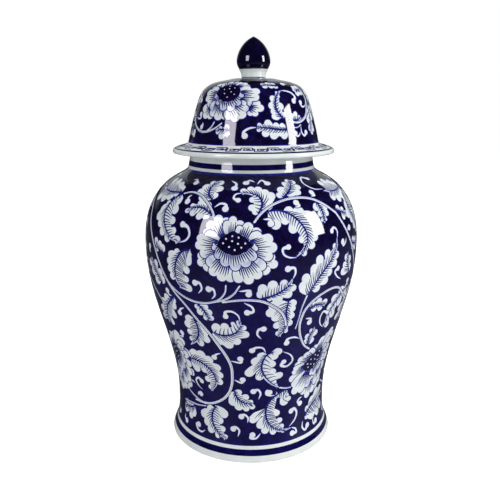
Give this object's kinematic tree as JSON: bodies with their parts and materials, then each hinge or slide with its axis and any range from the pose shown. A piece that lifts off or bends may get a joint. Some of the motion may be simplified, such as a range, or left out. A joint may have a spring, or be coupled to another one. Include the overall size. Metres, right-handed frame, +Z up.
{
  "type": "ginger jar",
  "caption": "Covered ceramic ginger jar: hollow baluster vessel on a flared foot ring, with a lift-off domed lid, brim and bud knob.",
  "frame": {"origin": "centre of the foot ring's resting face, on the vessel's turning axis", "axes": "+Z up the vessel's axis, towards the knob; the jar is round, so +X and +Y only fix the side that the picture shows, which faces -Y"},
  "size_m": [0.2438, 0.2438, 0.457],
  "materials": {
    "jar_body": "gloss",
    "lid": "gloss",
    "lid_knob_collar": "gloss",
    "lid_knob": "gloss"
  },
  "bodies": {
    "jar": {"jar_body": "jar_body"},
    "lid": {"lid": "lid", "lid_knob_collar": "lid_knob_collar", "lid_knob": "lid_knob"}
  },
  "joints": [
    {"name": "lid_lift", "type": "slide", "parent": "jar", "child": "lid", "axis": [0, 0, 1], "range_m": [0, 0.12]}
  ]
}
